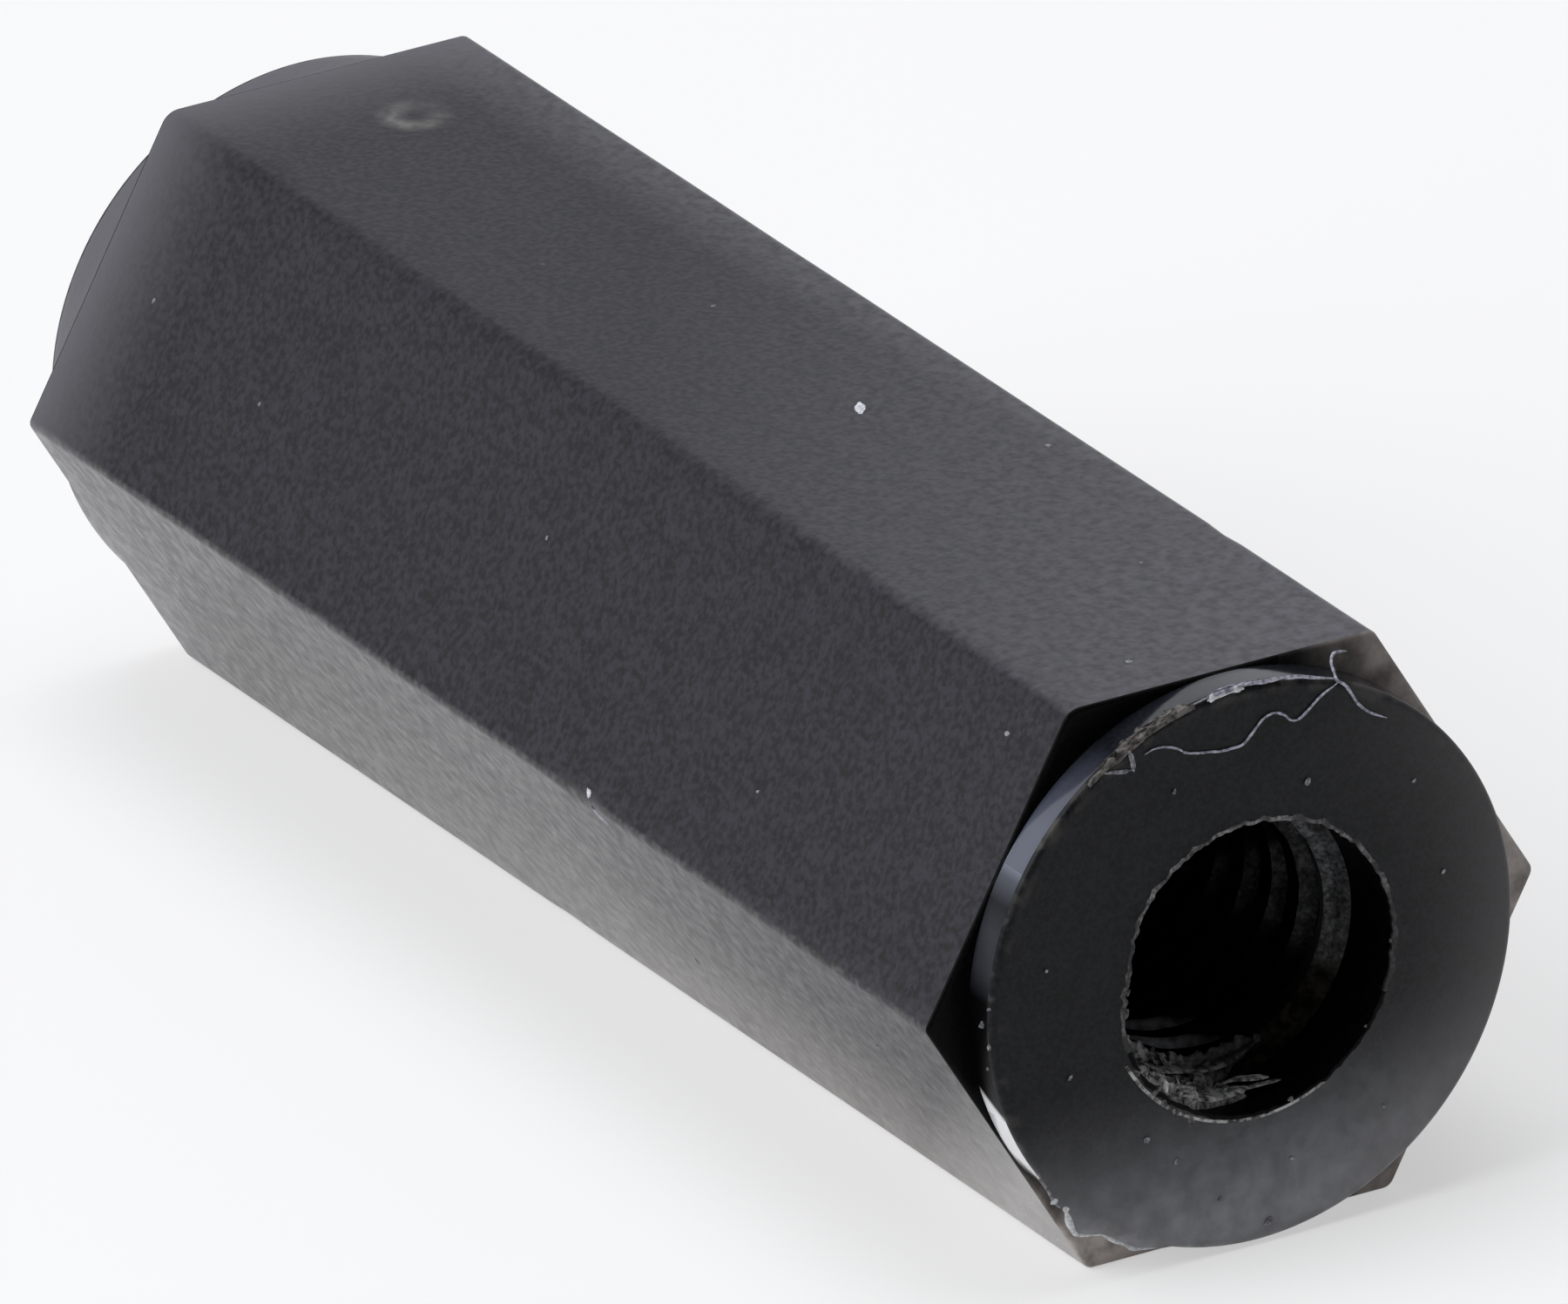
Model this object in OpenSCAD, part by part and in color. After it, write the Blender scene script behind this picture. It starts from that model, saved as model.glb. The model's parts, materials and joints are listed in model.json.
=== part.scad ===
// Hexagonal threaded spacer, moulded in nylon as one piece: a hexagonal bar with a short
// round shoulder and a tapped bore at each end. The axis lies along X and the part rests
// on one flat. The origin is the middle of that flat, so the flat lies on Z = 0.

/* [Hexagonal body] */
// Overall length, from end face to end face
overall_l = 25; // [14:0.5:60]
// Width across the flats
across_flats = 8; // [6.5:0.1:16]
// Radius of the six long edges
edge_r = 0.2; // [0.05:0.05:1]

/* [Shoulders] */
// Length of the round shoulder beyond the hexagon, at each end
shoulder_l = 0.6; // [0.2:0.1:2]
// Depth of the shoulder's side below the flats
shoulder_inset = 0.02; // [0.01:0.01:0.6]
// Break of the rim round each end face
rim_break = 0.06; // [0.02:0.02:0.3]

/* [Thread] */
// Nominal diameter of the thread
thread_d = 4; // [3:0.5:5]
// Pitch of the thread
thread_pitch = 0.7; // [0.5:0.05:0.8]
// Depth of each tapped bore, from the end face to its pointed bottom
bore_depth = 10; // [5:0.5:12]
// Angle of the pointed bottom
point_angle = 118; // [90:1:140]
// Diameter of the plain pilot hole that joins the two tapped bores
pilot_d = 2.6; // [1:0.1:4]

/* [Mouth] */
// Clearance all round the screw in the plain mouth
mouth_clearance = 0.1; // [0.05:0.05:0.5]
// Depth of the plain mouth
mouth_depth = 1; // [0.3:0.1:3]
// Length of the cone from the mouth to the first thread
lead_in_l = 0.25; // [0.1:0.05:1]

/* [Hidden] */
$fn = 96;

hex_l = overall_l - 2 * shoulder_l;
shoulder_d = across_flats - 2 * shoulder_inset;

// The six long edges are arcs about the corners of a hexagon that is edge_r smaller all round.
edge_centre = (across_flats / 2 - edge_r) / cos(30);

// A tapped bore is made one pitch smaller than its screw.
core_d = thread_d - thread_pitch;
point_l = core_d / 2 / tan(point_angle / 2);
mouth_d = thread_d + 2 * mouth_clearance;

// Each cut runs this far past the face that it opens through.
past = 1;

// Hexagon with rounded corners, two of them on the section's X axis
module hex_section() {
    offset(r = edge_r)
        circle(r = edge_centre, $fn = 6);
}

// Round bar of the full length, whose two ends are the shoulders
module shoulder_bar() {
    end = overall_l / 2;
    side = shoulder_d / 2;
    rotate_extrude()
        polygon([
            [0, -end],
            [side - rim_break, -end],
            [side, rim_break - end],
            [side, end - rim_break],
            [side - rim_break, end],
            [0, end]
        ]);
}

// Space inside one end, from an end face at Z = 0 down: mouth, lead-in cone, bore and point
module tapped_bore() {
    translate([0, 0, -mouth_depth])
        cylinder(d = mouth_d, h = mouth_depth + past);
    translate([0, 0, -mouth_depth - lead_in_l])
        cylinder(d1 = core_d, d2 = mouth_d, h = lead_in_l);
    translate([0, 0, -bore_depth])
        cylinder(d = core_d, h = bore_depth);
    translate([0, 0, -bore_depth - point_l])
        cylinder(d1 = 0, d2 = core_d, h = point_l);
}

// Puts its child at the end face of each end, with the outside towards +Z and -Z
module at_both_ends() {
    for (side = [0, 1])
        mirror([0, 0, side])
            translate([0, 0, overall_l / 2])
                children();
}

module hex_spacer() {
    color("#2e2f34")
        translate([0, 0, across_flats / 2])
            rotate([90, 0, 90])
                difference() {
                    union() {
                        linear_extrude(hex_l, center = true)
                            hex_section();
                        shoulder_bar();
                    }
                    at_both_ends()
                        tapped_bore();
                    cylinder(d = pilot_d, h = overall_l, center = true);
                }
}

hex_spacer();
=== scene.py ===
"""Looks of the hexagonal nylon spacer: its surface, threads, wear and dirt, in its CAD model's frame.

Lengths are in millimetres until a mesh is made, and angles round the axis are in degrees: 0 is +Y,
90 is up, and they grow anticlockwise for someone who looks at the +X end face.
"""

import json
import math
import random

import bmesh
import bpy
from mathutils import Matrix, Vector, noise


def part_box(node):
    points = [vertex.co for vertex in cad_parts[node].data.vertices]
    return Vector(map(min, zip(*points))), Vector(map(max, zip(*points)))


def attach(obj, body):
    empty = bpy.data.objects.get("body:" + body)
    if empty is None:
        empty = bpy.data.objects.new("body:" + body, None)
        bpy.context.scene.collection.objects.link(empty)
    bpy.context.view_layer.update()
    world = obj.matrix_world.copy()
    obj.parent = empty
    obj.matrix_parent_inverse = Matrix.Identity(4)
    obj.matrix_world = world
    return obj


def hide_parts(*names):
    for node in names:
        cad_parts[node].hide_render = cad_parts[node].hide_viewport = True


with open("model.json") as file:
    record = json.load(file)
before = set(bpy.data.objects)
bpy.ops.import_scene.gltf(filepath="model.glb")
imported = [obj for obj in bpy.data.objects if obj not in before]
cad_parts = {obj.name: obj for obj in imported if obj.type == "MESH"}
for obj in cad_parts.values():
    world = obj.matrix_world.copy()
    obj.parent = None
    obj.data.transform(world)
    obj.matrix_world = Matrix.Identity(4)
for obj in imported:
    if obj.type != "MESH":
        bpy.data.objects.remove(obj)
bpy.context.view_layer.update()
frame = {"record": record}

# ---- sizes
MM = 0.001
NODE = "hex_spacer"
BODY = "root"

cad_low, cad_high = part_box(NODE)
mounts = {mount["name"]: mount for mount in frame["record"]["mounts"]}
thread_mount = mounts["thread_plus_x"]

HALF_LENGTH = (cad_high.x - cad_low.x) / 2 / MM
FLATS = (cad_high.z - cad_low.z) / MM
AXIS_Z = thread_mount["pos_m"][2] / MM
CORE_R = thread_mount["dims"]["r_mm"]

# The surface lies a little inside the CAD solid, so that dirt on it stays inside the CAD box.
SIDE_SKIN = 0.012
END_SKIN = 0.045

APOTHEM = FLATS / 2 - SIDE_SKIN
END_X = HALF_LENGTH - END_SKIN
SHOULDER_L = 0.6
HEX_END_X = HALF_LENGTH - SHOULDER_L
SHOULDER_R = APOTHEM - 0.025
HEX_END_ROUND = 0.05
RIM_ROUND = 0.1
HAIR = 0.002     # least distance of dirt from the faces of the CAD box

# Radius of each long edge, by the angle that it lies at: some are worn more than others.
EDGE_R = {0: 0.17, 60: 0.15, 120: 0.3, 180: 0.13, 240: 0.15, 300: 0.18}

MOUTH_R = 2.1
LIP_R = 2.045
BURR_ANGLE = 170
# Ledge and steep cone at the foot of the plain mouth: depth and distance from the axis.
LEAD_IN = ((1.08, MOUTH_R), (1.17, 1.97), (1.22, 1.95), (1.34, 1.78), (1.46, 1.66))
BORE_DEPTH = 10.0
POINT_ANGLE = 118.0
PILOT_R = 1.3

PITCH = 0.7
THREAD_DEPTH = 9.0
THREAD_START = 0.52     # share of a pitch that the first crest lies further out
CREST_R = CORE_R + 0.05
THREAD_HEIGHT = 0.28
CREST_SHARE = 0.42
ROOT_SHARE = 0.12

MOUTH_X = HALF_LENGTH - LEAD_IN[-2][0]
THREAD_END_X = HALF_LENGTH - THREAD_DEPTH
BORE_END_X = HALF_LENGTH - BORE_DEPTH
POINT_END_X = BORE_END_X - (CORE_R - PILOT_R) / math.tan(math.radians(POINT_ANGLE / 2))

# Finishes of the body's faces, in the order of its material slots; several have painted light and shade in
# their colour.
SIDE, CUT, TURNED, DULL_PAINTED_WALL, WORN, DUST_AND_SHADE, PAINTED_SHADE, PAINTED_LIT_FLANK = range(8)

# Angles that the three flats in front face
TOP, UPPER, LOWER = 90, 150, 210

# Distance of the worn long edges from the axis
CORNER_R = 4.58


# ---- small helpers
def polar(x, radius, angle):
    """Point at this distance from the axis, in millimetres."""
    a = math.radians(angle)
    return Vector((x, radius * math.cos(a), AXIS_Z + radius * math.sin(a)))


def facing(angle):
    """Direction away from the axis at this angle."""
    a = math.radians(angle)
    return Vector((0, math.cos(a), math.sin(a)))


def on_flat(x, angle, across, lift=0.0):
    """Point on the flat that faces this angle, `across` from its middle and `lift` above it."""
    return Vector((x, 0, AXIS_Z)) + facing(angle) * (APOTHEM + lift) + facing(angle + 90) * across


def on_end(points, lift):
    """Points above the +X end face, with z measured from the axis."""
    return [Vector((END_X + lift, y, AXIS_Z + z)) for y, z in points]


def in_bore(depth, radius, angle):
    """Point in the +X bore, by its depth from the end."""
    return polar(HALF_LENGTH - depth, radius, angle)


def on_rim(back, out, angle):
    """Point by the +X rim, `back` from the end face and `out` from the shoulder's wall."""
    return polar(END_X - back, SHOULDER_R + out, angle)


def smooth(low, high, value):
    """0 below low, 1 above high and a smooth step between them."""
    t = min(max((value - low) / (high - low), 0.0), 1.0)
    return t * t * (3 - 2 * t)


def wobble(point, scale, seed=0.0):
    """Smooth noise from -1 to 1 at a point, with features about `scale` millimetres wide."""
    return noise.noise(Vector(point) / scale + Vector((seed, seed * 1.7, -seed)))


def between(table, at):
    """Value from a table of (position, value), straight between its entries."""
    for (first, low), (last, high) in zip(table, table[1:]):
        if at <= last:
            return low + (high - low) * (max(at, first) - first) / (last - first)
    return table[-1][1]


def spaced(first, last, count):
    """Evenly spaced values, with both ends."""
    return [first + (last - first) * i / (count - 1) for i in range(count)]


def object_from(name, vertices, faces, materials, kinds=None, smooth_below=45.0):
    """Closed mesh object from points in millimetres; edges sharper than smooth_below stay sharp."""
    bm = bmesh.new()
    made = [bm.verts.new(Vector(v) * MM) for v in vertices]
    for number, face in enumerate(faces):
        corners = [made[i] for i in face]
        if len(set(corners)) > 2:
            bm.faces.new(corners).material_index = kinds[number] if kinds else 0
    bmesh.ops.remove_doubles(bm, verts=bm.verts, dist=1e-4 * MM)
    bmesh.ops.dissolve_degenerate(bm, edges=bm.edges, dist=1e-5 * MM)
    bmesh.ops.recalc_face_normals(bm, faces=bm.faces)
    limit = math.radians(smooth_below)
    for face in bm.faces:
        face.smooth = True
    for edge in bm.edges:
        edge.smooth = len(edge.link_faces) == 2 and edge.calc_face_angle(0.0) < limit
    mesh = bpy.data.meshes.new(name)
    bm.to_mesh(mesh)
    bm.free()
    for material in materials:
        mesh.materials.append(material)
    return add_object(name, mesh)


def add_object(name, data):
    """New object in the scene."""
    made = bpy.data.objects.new(name, data)
    bpy.context.scene.collection.objects.link(made)
    return made


def part_of_spacer(piece):
    """Makes the piece ride with the spacer."""
    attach(piece, BODY)
    return piece


# ---- body: its section
def hexagon(angle):
    """Distance from the axis to the hexagon with rounded corners."""
    corner = round(angle / 60) * 60
    off = math.radians(abs(angle - corner))
    half = math.radians(30)
    edge = EDGE_R[corner % 360]
    centre = (APOTHEM - edge) / math.cos(half)
    tangent = math.atan2(edge / 2, centre + edge * math.cos(half))
    if off > tangent:
        return APOTHEM / math.cos(half - off)
    return centre * math.cos(off) + math.sqrt(edge ** 2 - (centre * math.sin(off)) ** 2)


# Angles of one ring of points, close together at the six rounded corners
NEAR_CORNER = [0.42, 0.84, 1.26]
SECTOR = [0, *NEAR_CORNER, *spaced(1.75, 58.25, 29), *(60 - a for a in reversed(NEAR_CORNER))]
ANGLES = [60 * k + a for k in range(6) for a in SECTOR]


# ---- body: its thread
def thread_profile(phase):
    """Depth of the thread for a share of a pitch: 0 at a crest and 1 at a root, with eased flanks."""
    flank = (1 - CREST_SHARE - ROOT_SHARE) / 2
    t = min(max(phase - CREST_SHARE, 0) / flank, (1 - phase) / flank, 1)
    return 0.75 * t + 0.25 * smooth(0, 1, t)


def bore_radius(x, angle):
    """Distance from the axis to the wall of the threaded bore or the cone at its start."""
    depth = HALF_LENGTH - x
    phase = (depth / PITCH + angle / 360 + THREAD_START) % 1.0
    tapped = smooth(THREAD_END_X, THREAD_END_X + PITCH, x)
    crest = CORE_R + (CREST_R - CORE_R) * tapped
    threaded = crest + THREAD_HEIGHT * thread_profile(phase) * tapped
    rough = 0.012 * wobble(polar(x, 1.8, angle), 0.3, 2)
    lead_in = between(LEAD_IN, depth) if depth < LEAD_IN[-1][0] else 0.0
    return max(threaded + rough * tapped, lead_in)


# Shares of a pitch at which the thread has its rows of points
SHARES = [0, 0.03, 0.21, 0.39, 0.42, 0.5, 0.57, 0.65, 0.71, 0.77, 0.85, 0.92, 0.97]


def thread_rows(end):
    """Rows of points along the thread's helix, cut off square. The -X end has them half a turn round."""
    first = math.floor((HALF_LENGTH - MOUTH_X) / PITCH)
    last = math.ceil((HALF_LENGTH - THREAD_END_X) / PITCH) + 2
    rows = []
    for turn in range(first, last):
        for share in SHARES:
            row = []
            for angle in [*ANGLES, 360]:
                x = HALF_LENGTH - PITCH * (turn + share - THREAD_START - angle / 360)
                x = min(max(x, THREAD_END_X), MOUTH_X)
                point = polar(x, bore_radius(x, angle), angle)
                row.append(Vector((point.x * end, point.y * end, point.z)))
            rows.append(row)
    return rows


# ---- body: wear of its surface
# Dents of the long edges: x, angle, reach and depth
DENTS = [
    (3.05, 180, 0.22, 0.08), (2.6, 180, 0.15, 0.04), (10.6, 181, 0.4, 0.04), (-4.2, 180, 0.3, 0.03),
    (7.0, 180, 0.25, 0.03), (-9.0, 120, 0.5, 0.03), (-1.5, 240, 0.3, 0.04), (5.5, 0, 0.3, 0.03),
    (-7.5, 300, 0.35, 0.04), (8.0, 60, 0.3, 0.02),
]
DENT_PLACES = [polar(x, CORNER_R, angle) for x, angle, _, _ in DENTS]


def weathered(point):
    """The point after the small unevenness of moulding and the dents of handling."""
    across = Vector((0, point.y, point.z - AXIS_Z))
    radius = across.length
    if radius < SHOULDER_R - 0.2:
        return point
    outward = across / radius
    point = point - outward * (0.004 + 0.004 * wobble(point, 2.5))
    for centre, (_, _, reach, depth) in zip(DENT_PLACES, DENTS):
        gap = (point - centre).length
        if gap < reach:
            point = point - outward * depth * (1 - smooth(0, reach, gap))
    return point


def ragged(angle, end):
    """Uneven offset of the mouth's lip, where the tap tore it."""
    place = polar(5 * end, MOUTH_R, angle)
    fine = 0.035 * wobble(place, 0.1, 3) + 0.03 * wobble(place, 0.22, 5)
    return fine * (1 if end > 0 else 0.45) + 0.02 * wobble(place, 0.8, 7)


def lip_radius(angle, end):
    """Distance from the axis to the lip, which is a little off centre, with a burr on one side."""
    turned = angle if end > 0 else angle + 140
    from_burr = abs((turned - BURR_ANGLE + 180) % 360 - 180)
    burr = 0.11 * math.exp(-(from_burr / 16) ** 2)
    return LIP_R + 0.08 * math.cos(math.radians(turned + 38)) - burr + ragged(angle, end)


def lip_height(angle, end):
    """Height of the crumbs that the tap pushed up round the mouth."""
    return 0.014 + 0.024 * max(wobble(polar(3 * end, MOUTH_R, angle), 0.14, 11), 0)


# ---- body: its mesh
def by_angle(low, high, inside, outside):
    """Finish of a face that depends on its angle."""
    return lambda angle: inside if low < angle < high else outside


# The step at the +X end is painted black at two corners, as shade; its shoulder's wall is dull beside the
# front corner, with painted shade and reflection in its colour; and the lip of the mouth is dark at the
# bottom, in the black painted shade.
STEP = by_angle(76, 205, PAINTED_SHADE, DUST_AND_SHADE)
WALL = by_angle(146, 199, DULL_PAINTED_WALL, TURNED)
LIP = by_angle(200, 335, PAINTED_SHADE, WORN)


def ring(x, radius):
    """Row of points round the axis; the radius may be a function of the angle."""
    return [polar(x, radius(a) if callable(radius) else radius, a) for a in ANGLES]


def side_rows():
    """Rows along the hexagonal side, from the -X end to the +X end."""
    last = HEX_END_X - HEX_END_ROUND
    inner = spaced(-last, last, 57)[1:-1]
    places = [-last, -last + 0.03, *inner, last - 0.03, last]
    return [ring(x, hexagon) for x in places]


def end_edge_rows(end):
    """Rows of the hexagon's rounded end edge and the step to the shoulder, with their finishes."""
    kind = STEP if end > 0 else DUST_AND_SHADE
    least = SHOULDER_R + 0.002
    rows = []
    for turn in (30, 60, 90):
        a = math.radians(turn)
        x = HEX_END_X - HEX_END_ROUND * (1 - math.sin(a))
        drop = HEX_END_ROUND * (1 - math.cos(a))
        rows.append((ring(x, lambda angle: max(hexagon(angle) - drop, least)), kind))
    for share in (0.15, 0.5, 0.9):
        def step_radius(angle):
            outer = max(hexagon(angle) - HEX_END_ROUND, least)
            return outer + (SHOULDER_R - outer) * share
        rows.append((ring(HEX_END_X, step_radius), kind))
    return rows


def turned_rows(end):
    """Rows of the turned end, from the foot of the shoulder to the mouth, with their finishes."""
    wall, step = (WALL, STEP) if end > 0 else (SIDE, DUST_AND_SHADE)
    rows = [(ring(HEX_END_X, SHOULDER_R), step)]
    for part in (0.02, 0.12, 0.24, 0.36):
        rows.append((ring(HEX_END_X + part, SHOULDER_R - 0.004), wall))
    for turn in (0, 22, 45, 68, 90):
        a = math.radians(turn)
        x = END_X - RIM_ROUND * (1 - math.sin(a))
        radius = SHOULDER_R - 0.006 - RIM_ROUND * (1 - math.cos(a))
        rows.append((ring(x, radius), CUT if turn > 0 else wall))
    for radius in (3.84, 3.7, 3.4, 3.0, 2.65, 2.42, 2.3):
        rows.append((ring(END_X, radius), CUT))
    return rows


def mouth_rows(end):
    """Rows of the ragged lip, the mouth's wall and the ledge at its foot, with their finishes."""
    rows = []
    for out, share in ((0.14, 0.1), (0.06, 0.6), (0.015, 1.0), (0.0, 0.7)):
        points = []
        for a in ANGLES:
            uneven = 1 + 0.8 * wobble(polar(7 * end, 2.0, a), 0.16, 13)
            radius = lip_radius(a, end) + out * uneven
            points.append(polar(END_X + share * lip_height(a, end), radius, a))
        rows.append((points, CUT if out > 0.03 else LIP))
    for depth, share in ((0.03, 0.9), (0.08, 0.6), (0.15, 0.3), (0.3, 0.1), (0.55, 0), (0.8, 0)):
        points = ring(END_X - depth, lambda a: MOUTH_R + share * (lip_radius(a, end) - MOUTH_R))
        rows.append((points, LIP if depth < 0.05 else PAINTED_SHADE))
    for depth in (1.08, 1.125, 1.17, 1.195, 1.22, 1.25, 1.28, 1.31):
        x = HALF_LENGTH - depth
        points = ring(x, lambda a: bore_radius(x, a if end > 0 else 180 - a))
        # Rows below the plain mouth get the painted lit flanks; the others get the black painted shade.
        rows.append((points, PAINTED_LIT_FLANK if depth > 1.1 else PAINTED_SHADE))
    return rows


def inner_rows():
    """Rows from the last thread to the middle of the pilot hole, with their finishes."""
    bore = [(x, CORE_R) for x in (BORE_END_X + 0.05, BORE_END_X)]
    pilot = [(x, PILOT_R) for x in (POINT_END_X, POINT_END_X - 0.05, 0)]
    return [(ring(x, radius), PAINTED_SHADE) for x, radius in bore + pilot]


def in_ring_order(row, end):
    """A helix row in the order of ANGLES: at the -X end it runs the other way round."""
    if end > 0:
        return row[:-1]
    place = {round(a, 4): i for i, a in enumerate(ANGLES)}
    return [row[place[round((180 - a) % 360, 4)]] for a in ANGLES]


def body_mesh(materials):
    """The body as one closed mesh."""
    vertices, faces, kinds = [], [], []

    def add_row(row):
        """Adds a row of points and returns their numbers."""
        start = len(vertices)
        vertices.extend(weathered(p) for p in row)
        return list(range(start, start + len(row)))

    def bridge(first, second, kind):
        """Joins two rows by a band of faces."""
        for i, angle in enumerate(ANGLES):
            j = (i + 1) % len(first)
            faces.append((first[i], first[j], second[j], second[i]))
            kinds.append(kind(angle) if callable(kind) else kind)

    def follow(last, rows, end):
        """Adds further rows, each joined to the one before."""
        for row, kind in rows:
            made = add_row([Vector((p.x * end, p.y, p.z)) for p in row])
            bridge(last, made, kind)
            last = made
        return last

    side = [add_row(row) for row in side_rows()]
    for first, second in zip(side, side[1:]):
        bridge(first, second, SIDE)
    for end, joint in ((1, side[-1]), (-1, side[0])):
        last = follow(joint, end_edge_rows(end) + turned_rows(end) + mouth_rows(end), end)
        helix = [add_row(row) for row in thread_rows(end)]
        bridge(last, in_ring_order(helix[0], end), PAINTED_SHADE)
        for number, (first, second) in enumerate(zip(helix, helix[1:])):
            # Flanks that face the mouth get the painted light of the lit flanks; the rest get the black
            # painted shade.
            bridge(first, second, PAINTED_LIT_FLANK if SHARES[number % len(SHARES)] > 0.76 else PAINTED_SHADE)
        follow(in_ring_order(helix[-1], end), inner_rows(), end)
    return object_from("spacer_body", vertices, faces, materials, kinds, smooth_below=38.0)


# ---- small pieces
def smooth_path(points):
    """Points of a smooth curve through the given ones."""
    steps = 6
    ends = [points[0] * 2 - points[1], *points, points[-1] * 2 - points[-2]]
    path = []
    for i in range(len(points) - 1):
        a, b, c, d = ends[i:i + 4]
        for k in range(steps):
            t = k / steps
            bend = (2 * a - 5 * b + 4 * c - d) * t ** 2 + (3 * b - a - 3 * c + d) * t ** 3
            path.append(0.5 * (2 * b + (c - a) * t + bend))
    return [*path, points[-1]]


def strand(points, width, flat, uneven, seed, outward=Vector((1, 0, 0)), taper=0.25):
    """Vertices and faces of a thread, `flat` times as thick along `outward` as it is wide."""
    path = smooth_path([Vector(p) for p in points])
    sides = 7
    vertices, faces = [path[0]], []
    for i, place in enumerate(path):
        ahead = (path[min(i + 1, len(path) - 1)] - path[max(i - 1, 0)]).normalized()
        across = ahead.cross(outward).normalized()
        up = across.cross(ahead)
        share = i / (len(path) - 1)
        body = smooth(0, taper, share) * smooth(0, taper, 1 - share)
        thick = width / 2 * (0.35 + 0.65 * body) * (1 + uneven * wobble(place, width * 2.5, seed))
        for k in range(sides):
            a = 2 * math.pi * k / sides
            vertices.append(place + across * thick * math.cos(a) + up * thick * flat * math.sin(a))
    vertices.append(path[-1])
    tip = len(vertices) - 1
    for k in range(sides):
        n = (k + 1) % sides
        faces.append((0, 1 + n, 1 + k))
        for i in range(len(path) - 1):
            at = 1 + i * sides
            faces.append((at + k, at + n, at + sides + n, at + sides + k))
        faces.append((tip - sides + k, tip - sides + n, tip))
    return vertices, faces


def sheet(pair, firsts, seconds):
    """Vertices and faces of a closed sheet; `pair` gives its upper and lower points."""
    rows = [[pair(first, second) for second in seconds] for first in firsts]
    vertices = [points[side] for side in (0, 1) for row in rows for points in row]
    wide = len(seconds)
    low = len(rows) * wide
    faces = []
    for i in range(len(rows) - 1):
        for j in range(wide - 1):
            a, b = i * wide + j, (i + 1) * wide + j
            faces += [(a, b, b + 1, a + 1), (low + a, low + a + 1, low + b + 1, low + b)]
        for edge in (0, wide - 1):
            a, b = i * wide + edge, (i + 1) * wide + edge
            faces.append((a, b, low + b, low + a))
    for row in (0, low - wide):
        faces += [(row + j, row + j + 1, low + row + j + 1, low + row + j) for j in range(wide - 1)]
    return vertices, faces


def crumb(centre, size, flat, seed, outward=Vector((1, 0, 0))):
    """Vertices and faces of an uneven crumb, flattened along `outward`."""
    chance = random.Random(seed)
    longer = Vector([chance.uniform(-1, 1) for _ in range(3)])
    longer = (longer - outward * longer.dot(outward)).normalized()
    stretch = chance.uniform(0.1, 0.6)
    bm = bmesh.new()
    bmesh.ops.create_icosphere(bm, subdivisions=2, radius=size / 2)
    vertices = []
    for v in bm.verts:
        point = v.co * (1 + 0.55 * wobble(v.co, size * 0.45, seed + 1.3))
        point = point + longer * point.dot(longer) * stretch
        point = point - outward * point.dot(outward) * (1 - flat)
        vertices.append(Vector(centre) + point * (1 - stretch / 4))
    faces = [tuple(v.index for v in f.verts) for f in bm.faces]
    bm.free()
    return vertices, faces


def crumbs(places, flat, seed):
    """Crumbs of the given places and sizes."""
    return [crumb(place, size, flat, seed + number) for number, (place, size) in enumerate(places)]


def inside_box(point):
    """The point, kept inside the ends, the top and the underside of the CAD box."""
    reach = HALF_LENGTH - HAIR
    return Vector((min(max(point.x, -reach), reach), point.y, min(max(point.z, HAIR), FLATS - HAIR)))


def joined(name, parts, material, smooth_below=60.0):
    """One piece of the spacer from several closed parts."""
    vertices, faces = [], []
    for more_vertices, more_faces in parts:
        start = len(vertices)
        vertices.extend(inside_box(v) for v in more_vertices)
        faces.extend(tuple(i + start for i in face) for face in more_faces)
    return part_of_spacer(object_from(name, vertices, faces, [material], smooth_below=smooth_below))


def lint(material):
    """Two crossed fibres that lie on the end face, one with its end over the step."""
    lift = 0.02
    long_fibre = [
        (-1.53, 3.39), (-1.4, 3.43), (-1.22, 3.42), (-1.04, 3.35), (-0.91, 3.26), (-0.73, 3.21),
        (-0.54, 3.18), (-0.39, 3.15), (-0.23, 3.15), (-0.07, 3.16), (0.05, 3.25), (0.17, 3.37),
        (0.28, 3.46), (0.43, 3.49), (0.57, 3.43), (0.67, 3.33), (0.78, 3.31), (0.91, 3.38),
        (1.02, 3.47), (1.16, 3.57), (1.32, 3.64), (1.41, 3.69),
    ]
    short_fibre = [
        (1.38, 3.72), (1.51, 3.61), (1.61, 3.44), (1.71, 3.28), (1.85, 3.15), (1.98, 3.07), (2.11, 3.0),
    ]
    loose_end = [
        (12.02, 1.8, 3.86), (12.06, 1.68, 3.9), (12.12, 1.54, 3.92), (12.24, 1.44, 3.86), (12.38, 1.4, 3.79),
    ]
    over_step = [Vector((x, y, AXIS_Z + z)) for x, y, z in loose_end]
    parts = [
        strand(on_end(long_fibre, lift), 0.034, 1.0, 0.25, taper=0.1, seed=4),
        strand(over_step + on_end(short_fibre, lift), 0.04, 1.0, 0.3, taper=0.1, seed=9),
    ]
    joined("lint", parts, material)


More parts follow.
